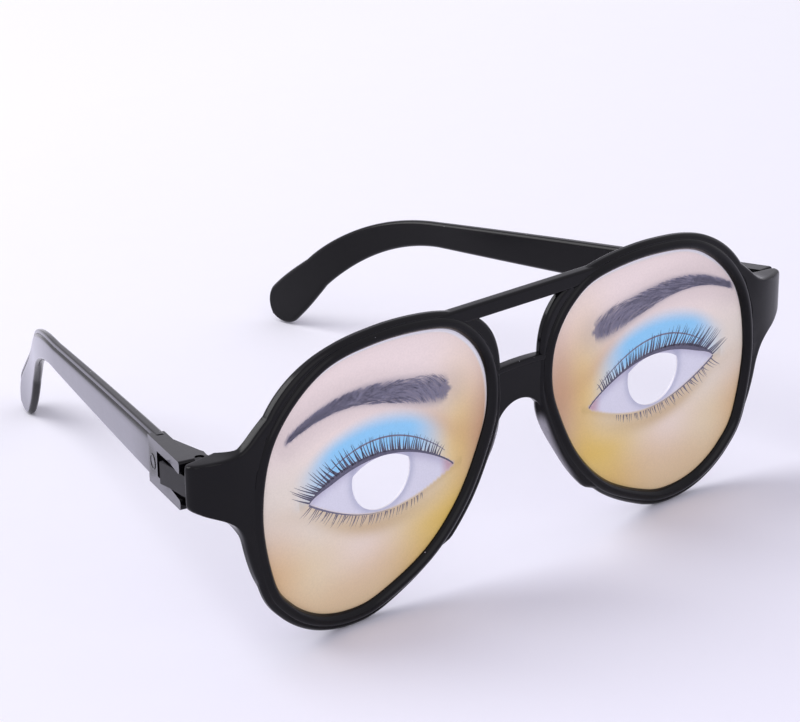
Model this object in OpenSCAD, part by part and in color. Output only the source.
// Costume glasses: a moulded aviator front, two snap-on temples and two printed eye inserts.
// Millimetres, +Z up. The glasses stand on the floor z = 0 as they do on a table, on the two
// rims and a temple tip, with the origin under the middle of their bounding box. X is the width
// and the front looks towards -Y. Each part is modelled in the front's own axes, where the front
// is upright and the inserts lie just behind y = 0, and stand() sets it on the floor.

/* [Front] */
// How far an end piece reaches out past its rim
end_reach = 10; // [9:0.1:12]
// Distance between the middles of the two lens openings
lens_pitch = 68; // [66:0.5:72]
// Width of a lens opening
lens_w = 52; // [49:0.5:54]
// Height of a lens opening
lens_h = 50.6; // [46:0.5:54]
// Width of the rim round a lens opening
rim_w = 3.2; // [2.8:0.1:4]
// Depth of the rim behind the lens line
rim_d = 1.5; // [1.3:0.1:2.4]
// Height of the round bead that stands proud of the front face along each opening
bead_h = 0.6; // [0.3:0.05:1]
// Height of the straight brow bar
brow_h = 3; // [2.4:0.1:4]
// Height of the bridge over the nose, at its thinnest
bridge_h = 7.9; // [6:0.1:10]
// Radius of the arch under the bridge
arch_r = 6; // [5:0.1:7]
// How far the nose flanges reach behind the rim
flange_d = 0.6; // [0.2:0.1:2.4]

/* [Printed inserts] */
// Thickness of the printed sheet
sheet_t = 0.5; // [0.3:0.05:0.7]
// How far the sheet reaches into the groove of the rim
sheet_lap = 0.7; // [0.4:0.05:0.8]
// Radius of the see-through hole
hole_r = 6.8; // [5:0.1:8]
// Height of the lid line above the middle of the hole
lid_rise = 3.6; // [2:0.1:4.4]
// Radius of the lid line
lid_r = 11.5; // [9:0.1:16]
// Place of the left hole from the middle of its opening, towards the nose and up
left_hole = [0.9, -0.8]; // [-3:0.1:3]
// Place of the right hole from the middle of its opening, towards the nose and up
right_hole = [-1.1, 0.5]; // [-3:0.1:3]

/* [Temples] */
// Length of the straight run from the pivot to the bend
run_l = 87.6; // [72.6:1:102.6]
// Slope of the straight run, downwards
run_slope = 6; // [3:0.5:9]
// Radius of the bend over the ear, along the middle of the temple
bend_r = 59; // [45:1:80]
// Angle of the bend
bend_turn = 38.4; // [26.4:1:46.4]
// Length from the bend to the middle of the round tip
hook_l = 14; // [10:1:22]
// Angle by which a temple turns in behind the ear
bow = 10.5; // [2:0.5:14]
// Angle by which its end flares out again
flare = 11.2; // [1.2:0.5:15.2]
// Height of the temple at the hinge
root_h = 9.2; // [8.6:0.1:10.4]
// Height of the temple where the bend starts
neck_h = 5.8; // [5:0.1:7.5]
// Height of the temple at its round tip
tip_h = 10; // [8:0.1:12]
// Thickness of the temple at the hinge
temple_t = 2.7; // [2.2:0.1:3.2]
// Thickness of the temple at its tip
tip_t = 1.9; // [1.5:0.1:2.2]

/* [Hinges] */
// Radius of the pivot studs on the front
stud_r = 0.8; // [0.6:0.05:1]
// Radial clearance of a stud in its ear
stud_gap = 0.05; // [0.02:0.01:0.1]
// Wall of the ears round the studs
ear_wall = 0.75; // [0.6:0.05:0.9]
// Height of the gap between the two ears
fork_gap = 4.9; // [4:0.1:5.3]
// Clearance above and below the lug between the ears
fork_clear = 0.3; // [0.2:0.05:0.4]
// Toe-in of a temple at its open stop
open_toe = 5.8; // [3:0.1:8]
// Fold of the left temple as it stands, from square to the front
left_fold = 18; // [6:0.5:90]
// Fold of the right temple as it stands, from square to the front
right_fold = 7.6; // [6.1:0.5:84.6]

/* [Hidden] */
eps = 0.01;
$fn = 64;

// Points round the right lens opening, outboard side first and anticlockwise from the front,
// as shares of its half width and half height. A smooth curve runs through them.
OPENING = [
    [1.00, 0.00], [0.88, 0.52], [0.50, 0.89], [0.00, 0.99], [-0.54, 0.95], [-0.80, 0.81],
    [-0.96, 0.57], [-1.00, 0.28], [-0.935, 0.00], [-0.73, -0.42], [-0.42, -0.75], [0.00, -0.96],
    [0.27, -1.00], [0.54, -0.94], [0.77, -0.78], [0.92, -0.54]
];
OPENING_STEPS = 5;
lens_z = -1.2;
opening = [for (p = smooth_loop(OPENING, OPENING_STEPS)) [p.x * lens_w / 2, p.y * lens_h / 2]];

// The rim's cross-section, as distances out from the edge of the opening and back from y = 0:
// the front lip, the bead, the outer step, the rear edge and the insert's groove.
// Its width, its depth and its rear outer edge change from point to point round the opening.
groove_y = 0.05;
groove_gap = 0.05;
groove_deep = sheet_lap + 0.15;
groove_rear = groove_y + sheet_t + 2 * groove_gap;
bead_w = 0.7 * rim_w;
step_y = -0.75;
corner = 0.35;
rear_corner = 0.7;
lip_y = -0.25;
crest_y = step_y - bead_h;

// The rim swells round some points of the opening, each given as [point, span]: towards its
// upper nose corner, towards the end piece, and in a flange that is splayed behind the nose side
brow_swell = [27, 7];
brow_wide = 1.4;
end_swell = [7, 5];
end_wide = 0.6;
end_deep = 0.5;
flange_swell = [40, 4.6];
flange_t = 1.3;
flange_splay = 0.9;
flange_y = 0.3;

// Along the nose side runs a band of even extra width, with a step in at its lower end
band_from = 38;
band_to = 48;
band_wide = 0.45;
band_step = 0.5;
band_step_span = 6;

function swell(i, at) = pow(max(0, cos(90 * min(1, abs(i - at[0]) / at[1]))), 2);

function band(i) =
    i <= band_to ? band_wide * max(0, min(1, (i - band_from + 4) / 4))
        : -band_step * max(0, 1 - (i - band_to - 1) / band_step_span);

function rim_section(i) =
    let (share = swell(i, flange_swell), end = swell(i, end_swell),
        wide = brow_wide * swell(i, brow_swell) + end_wide * end + band(i),
        out = flange_splay * share + wide, back = flange_d * share + end_deep * end)
        [
            [0, groove_y], [0, lip_y], [0.16 * bead_w, 0.4 * lip_y + 0.6 * crest_y],
            [0.4 * bead_w, crest_y], [0.68 * bead_w, crest_y + 0.1 * bead_h],
            [0.92 * bead_w, crest_y + 0.6 * bead_h], [bead_w, step_y + 0.1],
            [rim_w + wide - corner, step_y], [rim_w + wide, step_y + corner],
            [rim_w + out, flange_y], [rim_w + out, rim_d + back - rear_corner],
            [rim_w + out - rear_corner, rim_d + back], [rim_w + out - flange_t, rim_d + back],
            [rim_w - flange_t - corner, rim_d],
            [corner, rim_d], [0, rim_d - corner], [0, groove_rear], [groove_deep, groove_rear],
            [groove_deep, groove_y]
        ];

// Brow bar and bridge
brow_top = 25.4;
brow_y = [-0.8, 1.4];
brow_half = lens_pitch / 2 - 12.5;
brow_rise = 2;
brow_rise_l = 6;
bar_corner = 0.5;
bridge_top = 11.5;
bridge_half = (lens_pitch - lens_w) / 2 - groove_deep - 0.15;
bridge_crown_r = 60;
bridge_y = [-0.4, 1.4];

// The bridge's right leg, from the end of the arch down along the rim and back up inside it
arch_end = [arch_r, bridge_top - bridge_h - arch_r];
LEG = [
    arch_end, arch_end + [0.3, -1.2], arch_end + [0.9, -2.4], arch_end + [1.7, -3.6],
    arch_end + [2.7, -5], arch_end + [3.9, -6.2], arch_end + [2.3, 0.4],
    [bridge_half, arch_end.y + 5.4]
];

// End pieces: their outline seen from the front, from the rim outwards, and their sweep in plan
rim_x = (lens_pitch + lens_w) / 2 + rim_w;
end_x = rim_x + end_reach;
end_top = 10.4;
end_low = 2.1;
end_rear = 4.35;
sweep_r = 22.5;
sweep_from = end_x - 12;
rear_from = end_x - 9;
rear_full = end_x - 6.5;
END_PIECE = [
    [rim_x - 8.5, end_top + 8.2], [rim_x - 5.4, end_top + 6.4], [rim_x - 2.4, end_top + 4],
    [rim_x - 0.6, end_top + 2.3], [rim_x + 1.1, end_top + 1.1], [rim_x + 3, end_top + 0.5],
    [end_x - 3, end_top + 0.2], [end_x, end_top], [end_x, end_low],
    [end_x - 2.2, end_low - 1.4], [rim_x + 4.6, end_low - 2.6], [rim_x + 2.4, end_low - 4.2],
    [rim_x + 0.9, end_low - 7], [rim_x, end_low - 11.3], [rim_x - 1.3, end_low - 15.5],
    [rim_x - 2.9, end_low - 18.7], [rim_x - 3.2, end_low - 17.5], [rim_x - 0.9, end_low - 5.1],
    [rim_x - 1.4, end_top - 4.4], [rim_x - 4, end_top + 2.6], [rim_x - 8.3, end_top + 6.8]
];
end_floor = min([for (p = END_PIECE) p.y]);
end_inner = min([for (p = END_PIECE) p.x]);

// Hinge: the pivot, and the plan of the lug in the temple's own axes, where the pivot is the
// origin, +X is outboard and +Y runs back along the temple.
pivot = [end_x - 4.8, 6.3];
hinge_mid = 5.6;
block_out = 4.4;
block_t = 3.1;
block_proud = 0.5;
block_end = 16.6;
prong_tip = -2.1;
ring_at = 13.9;
ring_r = 1.5;
ring_w = 0.3;
ring_h = 0.12;
ear_r = stud_r + stud_gap + ear_wall;
ear_root = 14;
lug_z = [hinge_mid - fork_gap / 2 + fork_clear, hinge_mid + fork_gap / 2 - fork_clear];
lug_front = -3.2;
tongue_end = 7.4;
tongue_t = 1.6;
window_end = 11.2;
fall_from = 3;
ear_z = [hinge_mid - root_h / 2 + 0.15, hinge_mid + root_h / 2 - 0.25];
fall = 0.12;

// Temple: the middle line in its own side view, along from the pivot and up
temple_out = block_out - block_proud;
bevel = 0.55;
facet_from = 0.42;
facet_in = 0.25;
RUN_STEPS = 8;
BEND_STEPS = 14;
HOOK_STEPS = 4;
TIP_STEPS = 9;
run_from = 14.5;
neck = [run_l * cos(run_slope), hinge_mid - run_l * sin(run_slope)];
bend_mid = [neck.x - bend_r * sin(run_slope), neck.y - bend_r * cos(run_slope)];
hook_slope = run_slope + bend_turn;
hook = [bend_mid.x + bend_r * sin(hook_slope), bend_mid.y + bend_r * cos(hook_slope)];
tip = [hook.x + hook_l * cos(hook_slope), hook.y - hook_l * sin(hook_slope)];

// Behind the ear the temple follows an arc inwards, then an arc back out, then runs straight
bow_from = neck.x - 3.5;
bow_l = 30.8;
bow_r = bow_l / (bow * PI / 180);
flare_l = 20.4;
flare_r = flare_l / (flare * PI / 180);

// Standing pose: the lean that brings the round tip of the left temple to the floor together
// with the front lower edge of both rims
rim_low = [step_y + corner, lens_z - lens_h / 2 - rim_w];
tip_foot = bowed([temple_out - tip_t / 2, tip.x, tip.y - tip_h / 2]);
tip_back = pivot.y + tip_foot.y * cos(left_fold) + tip_foot.x * sin(left_fold);
lean = atan((rim_low.y - tip_foot.z) / (tip_back - rim_low.x));
right_end = bowed([temple_out, tip.x + tip_h / 2, tip.y]);
box_front = crest_y - (brow_top + 2) * sin(lean);
box_back = pivot.y + right_end.y * cos(right_fold) + right_end.x * sin(right_fold);
box_mid = (box_front + box_back * cos(lean) - tip.y * sin(lean)) / 2;

// Curves and skins

function wrap(list, i) = list[(i + len(list)) % len(list)];

function between(a, b, c, d, t) =
    (2 * b + (c - a) * t + (2 * a - 5 * b + 4 * c - d) * t * t
        + (3 * b - a - 3 * c + d) * t * t * t) / 2;

function smooth_loop(points, steps) = [
    for (i = [0 : len(points) - 1], s = [0 : steps - 1])
        between(wrap(points, i - 1), points[i], wrap(points, i + 1), wrap(points, i + 2), s / steps)
];

function unit(v) = v / norm(v);

function outward(loop, i) =
    let (d = unit(wrap(loop, i + 1) - wrap(loop, i - 1))) [d.y, -d.x];

function grown(loop, by) = [for (i = [0 : len(loop) - 1]) loop[i] + by * outward(loop, i)];

// One ring of a profile that stands on the opening's edge at point i
function rim_ring(i, profile) = [
    for (q = profile)
        let (p = opening[i] + q[0] * outward(opening, i))
            [lens_pitch / 2 + p.x, q[1], lens_z + p.y]
];

// Closes rings of points into a solid: round on itself, or with a flat cap at each end
module skin(rings, round_trip = false) {
    n = len(rings);
    m = len(rings[0]);
    laps = round_trip ? n : n - 1;
    walls = [
        for (i = [0 : laps - 1], j = [0 : m - 1])
            let (a = i * m, b = ((i + 1) % n) * m, k = (j + 1) % m)
                each [[a + j, a + k, b + k], [a + j, b + k, b + j]]
    ];
    caps = round_trip ? [] : [[for (j = [m - 1 : -1 : 0]) j], [for (j = [0 : m - 1]) (n - 1) * m + j]];
    polyhedron(points = [for (r = rings) each r], faces = concat(walls, caps), convexity = 6);
}

module stand() {
    translate([0, -box_mid, -rim_low.y * cos(lean) - rim_low.x * sin(lean)])
        rotate([lean, 0, 0])
            children();
}

module both_sides() {
    children();
    mirror([1, 0, 0]) children();
}

// Turns a shape in a temple's axes to its fold at the right-hand hinge
module at_hinge(fold) {
    translate([pivot.x, pivot.y, 0])
        rotate([0, 0, fold])
            children();
}

// A plate seen from the front, from y[0] back to y[1]
module plate(y) {
    translate([0, y[1], 0])
        rotate([90, 0, 0])
            linear_extrude(y[1] - y[0])
                children();
}

// A slab seen from above, from z[0] up to z[1]
module slab(z) {
    translate([0, 0, z[0]])
        linear_extrude(z[1] - z[0])
            children();
}

// A wall seen from the side, from x[0] out to x[1]: its drawing's axes are +Y and +Z
module wall(x) {
    translate([x[0], 0, 0])
        rotate([90, 0, 90])
            linear_extrude(x[1] - x[0])
                children();
}

// Front

module rim() {
    skin([for (i = [len(opening) - 1 : -1 : 0]) rim_ring(i, rim_section(i))], round_trip = true);
}

// The bar's underside rises towards its ends, which lie inside the rims
module brow_bar() {
    z = [brow_top - brow_h, brow_top];
    intersection() {
        wall([-brow_half, brow_half])
            polygon([
                [brow_y[0], z[0] + bar_corner], [brow_y[0] + bar_corner, z[0]],
                [brow_y[1] - bar_corner, z[0]], [brow_y[1], z[0] + bar_corner],
                [brow_y[1], z[1] - bar_corner], [brow_y[1] - bar_corner, z[1]],
                [brow_y[0] + bar_corner, z[1]], [brow_y[0], z[1] - bar_corner]
            ]);
        plate(brow_y)
            polygon([
                [-brow_half + brow_rise_l, z[0]], [brow_half - brow_rise_l, z[0]],
                [brow_half, z[0] + brow_rise], [brow_half, z[1]],
                [-brow_half, z[1]], [-brow_half, z[0] + brow_rise]
            ]);
    }
}

module bridge() {
    plate(bridge_y)
        difference() {
            union() {
                intersection() {
                    translate([-bridge_half, arch_end.y])
                        square([2 * bridge_half, bridge_top - arch_end.y]);
                    translate([0, bridge_top - bridge_crown_r])
                        circle(bridge_crown_r, $fn = 180);
                }
                for (side = [-1, 1]) polygon([for (p = LEG) [side * p.x, p.y]]);
            }
            translate([0, arch_end.y]) circle(arch_r);
        }
}

module end_piece() {
    intersection() {
        plate([step_y, end_rear])
            polygon(END_PIECE);
        slab([end_floor, max([for (p = END_PIECE) p.y])])
            intersection() {
                polygon([
                    [end_inner, step_y], [end_x, step_y], [end_x, end_rear],
                    [rear_full, end_rear], [rear_from, rim_d], [end_inner, rim_d]
                ]);
                union() {
                    translate([sweep_from, sweep_r + step_y]) circle(sweep_r, $fn = 120);
                    translate([end_inner, step_y]) square([sweep_from - end_inner, end_rear - step_y]);
                }
            }
    }
}

// The lug that carries the studs, and the tongue that shows in the temple's window
module hinge_lug() {
    at_hinge(open_toe) {
        intersection() {
            slab(lug_z)
                union() {
                    circle(ear_r);
                    polygon([
                        [-ear_r, lug_front], [temple_out, lug_front + 0.6], [temple_out, tongue_end],
                        [temple_out - tongue_t, tongue_end], [temple_out - tongue_t, ear_r + 0.8],
                        [ear_r - 0.4, 0.9], [0, 0], [-ear_r, 0]
                    ]);
                }
            wall([-ear_r, temple_out])
                polygon([
                    [lug_front, lug_z[0]], [fall_from, lug_z[0]],
                    [tongue_end, window_edge(lug_z[0], tongue_end)],
                    [tongue_end, window_edge(lug_z[1], tongue_end)],
                    [fall_from, lug_z[1]], [lug_front, lug_z[1]]
                ]);
        }
        slab([ear_z[0] + 0.3, ear_z[1] - 0.3]) circle(stud_r);
    }
}

module front_frame() {
    color([0.16, 0.157, 0.176])
        stand() {
            both_sides() {
                rim();
                end_piece();
                hinge_lug();
            }
            brow_bar();
            bridge();
        }
}

// Temples

function lerp(a, b, t) = a + (b - a) * t;

function ease(t) = t * t * (3 - 2 * t);

// Stations along the middle line: [along, up, slope, height, thickness]
run_stations = [
    for (s = [0 : RUN_STEPS - 1])
        let (l = lerp(run_from, run_l, s / RUN_STEPS), t = l / run_l)
            [l * cos(run_slope), hinge_mid - l * sin(run_slope), run_slope,
                lerp(root_h, neck_h, t * (0.4 + 0.6 * t)), lerp(temple_t, tip_t, 0.7 * t)]
];
bend_stations = [
    for (s = [0 : BEND_STEPS - 1])
        let (t = s / BEND_STEPS, a = run_slope + bend_turn * t)
            [bend_mid.x + bend_r * sin(a), bend_mid.y + bend_r * cos(a), a,
                lerp(neck_h, tip_h, 0.45 * ease(t)), lerp(temple_t, tip_t, 0.7 + 0.2 * t)]
];
hook_stations = [
    for (s = [0 : HOOK_STEPS - 1])
        let (t = s / HOOK_STEPS)
            [lerp(hook.x, tip.x, t), lerp(hook.y, tip.y, t), hook_slope,
                lerp(neck_h, tip_h, lerp(0.45, 1, sin(90 * t))), lerp(temple_t, tip_t, 0.9 + 0.1 * t)]
];
tip_stations = [
    for (s = [0 : TIP_STEPS])
        let (a = 88 * s / TIP_STEPS, r = tip_h / 2)
            [tip.x + r * sin(a) * cos(hook_slope), tip.y - r * sin(a) * sin(hook_slope), hook_slope,
                tip_h * cos(a), tip_t]
];

// Bends a point of the temple, given as [outboard, along, up], along the two arcs behind the ear
function bowed(p) =
    let (past = max(0, p.y - bow_from), rest = max(0, past - bow_l - flare_l),
        a = bow * min(1, past / bow_l), b = bow - flare * max(0, min(1, (past - bow_l) / flare_l)),
        heading = a + b - bow, deep = p.x - temple_out)
        past == 0 ? p : [
            temple_out - bow_r * (1 - cos(a)) - flare_r * (cos(b) - cos(bow)) - rest * sin(heading)
                + deep * cos(heading),
            bow_from + bow_r * sin(a) + flare_r * (sin(bow) - sin(b)) + rest * cos(heading)
                + deep * sin(heading),
            p.z
        ];

// A station's outline: flat sides with bevelled edges, and a facet along the top of the outer one
function temple_ring(s) =
    let (h = s[3] / 2, t = s[4], b = min(bevel, 0.6 * h),
        up = [sin(s[2]), cos(s[2])])
        [
            for (q = [
                [temple_out - t, -h + b], [temple_out - t + b, -h], [temple_out - b, -h],
                [temple_out, -h + b], [temple_out, facet_from * h],
                [temple_out - facet_in, h - b], [temple_out - b, h],
                [temple_out - t + b, h], [temple_out - t, h - b]
            ])
                bowed([q[0], s[0] + q[1] * up.x, s[1] + q[1] * up.y])
        ];

module temple_arm() {
    skin([for (s = concat(run_stations, bend_stations, hook_stations, tip_stations)) temple_ring(s)]);
}

// Height of the window's edges at a place along the temple, level at the pivot and then falling
function window_edge(z, y) = z - fall * max(0, y - fall_from);

module hinge_block() {
    z = [hinge_mid - root_h / 2, hinge_mid + root_h / 2];
    gap = [hinge_mid - fork_gap / 2, hinge_mid + fork_gap / 2];
    difference() {
        wall([block_out - block_t, block_out])
            polygon([
                [prong_tip - 1, z[0] - fall * prong_tip], [block_end, z[0] - fall * block_end],
                [block_end, z[1] - fall * block_end], [prong_tip - 1, z[1] - fall * prong_tip]
            ]);
        wall([0, block_out + 1])
            polygon([
                [prong_tip - 2, gap[0]], [fall_from, gap[0]],
                [window_end, window_edge(gap[0], window_end)],
                [window_end, window_edge(gap[1], window_end)], [fall_from, gap[1]],
                [prong_tip - 2, gap[1]]
            ]);
    }
}

// A fine raised ring on the block, behind the window
module block_ring() {
    translate([block_out, ring_at, hinge_mid - fall * ring_at])
        rotate([0, 90, 0])
            difference() {
                translate([0, 0, -ring_h]) cylinder(r = ring_r, h = 2 * ring_h);
                cylinder(r = ring_r - ring_w, h = 2 * ring_h);
            }
}

// The two ears in plan: round the stud, then a long gusset back to the temple's inner face
module ear_plan() {
    circle(ear_r);
    polygon([
        [0, 0], [-ear_r * 0.94, ear_r * 0.35], [-ear_r, 2.6], [-ear_r + 0.4, 3.6],
        [temple_out - temple_t + 0.4, ear_root], [block_out - block_t + 0.4, ear_root],
        [block_out - block_t + 0.4, -ear_r], [0, -ear_r]
    ]);
}

module ears() {
    gap = [hinge_mid - fork_gap / 2, hinge_mid + fork_gap / 2];
    difference() {
        intersection() {
            slab([hinge_mid - root_h, hinge_mid + root_h]) ear_plan();
            union() {
                wall([-ear_r - 1, block_out])
                    polygon([
                        [-ear_r - 1, gap[1]], [fall_from, gap[1]],
                        [ear_root, window_edge(gap[1], ear_root)],
                        [ear_root, ear_z[1] - fall * ear_root], [0, ear_z[1]], [-ear_r - 1, ear_z[1]]
                    ]);
                wall([-ear_r - 1, block_out])
                    polygon([
                        [-ear_r - 1, ear_z[0]], [0, ear_z[0]], [ear_root, ear_z[0] - fall * ear_root],
                        [ear_root, window_edge(gap[0], ear_root)], [fall_from, gap[0]],
                        [-ear_r - 1, gap[0]]
                    ]);
            }
        }
        slab([hinge_mid - root_h, hinge_mid + root_h]) circle(stud_r + stud_gap);
    }
}

// The prongs' ends are cut square to the front, so that they meet the end piece together
module stop_cut() {
    rotate([0, 0, -open_toe])
        translate([-2 * block_out, -3 * block_out, hinge_mid - root_h])
            cube([4 * block_out, 3 * block_out + prong_tip + block_out * sin(open_toe), 2 * root_h]);
}

module temple() {
    difference() {
        union() {
            temple_arm();
            hinge_block();
            block_ring();
            ears();
        }
        stop_cut();
    }
}

module right_temple() {
    color([0.16, 0.157, 0.176])
        stand() at_hinge(right_fold) temple();
}

module left_temple() {
    color([0.16, 0.157, 0.176])
        stand() mirror([1, 0, 0]) at_hinge(left_fold) temple();
}

// Printed inserts

module eye_insert(hole) {
    plate([groove_y + groove_gap, groove_y + groove_gap + sheet_t])
        translate([lens_pitch / 2, lens_z])
            difference() {
                polygon(grown(opening, sheet_lap));
                translate([-hole.x, hole.y])
                    intersection() {
                        circle(hole_r);
                        translate([0, lid_rise - lid_r]) circle(lid_r);
                    }
            }
}

module right_eye_insert() {
    color([0.86, 0.8, 0.74])
        stand() eye_insert(right_hole);
}

module left_eye_insert() {
    color([0.86, 0.8, 0.74])
        stand() mirror([1, 0, 0]) eye_insert(left_hole);
}

front_frame();
left_temple();
right_temple();
left_eye_insert();
right_eye_insert();
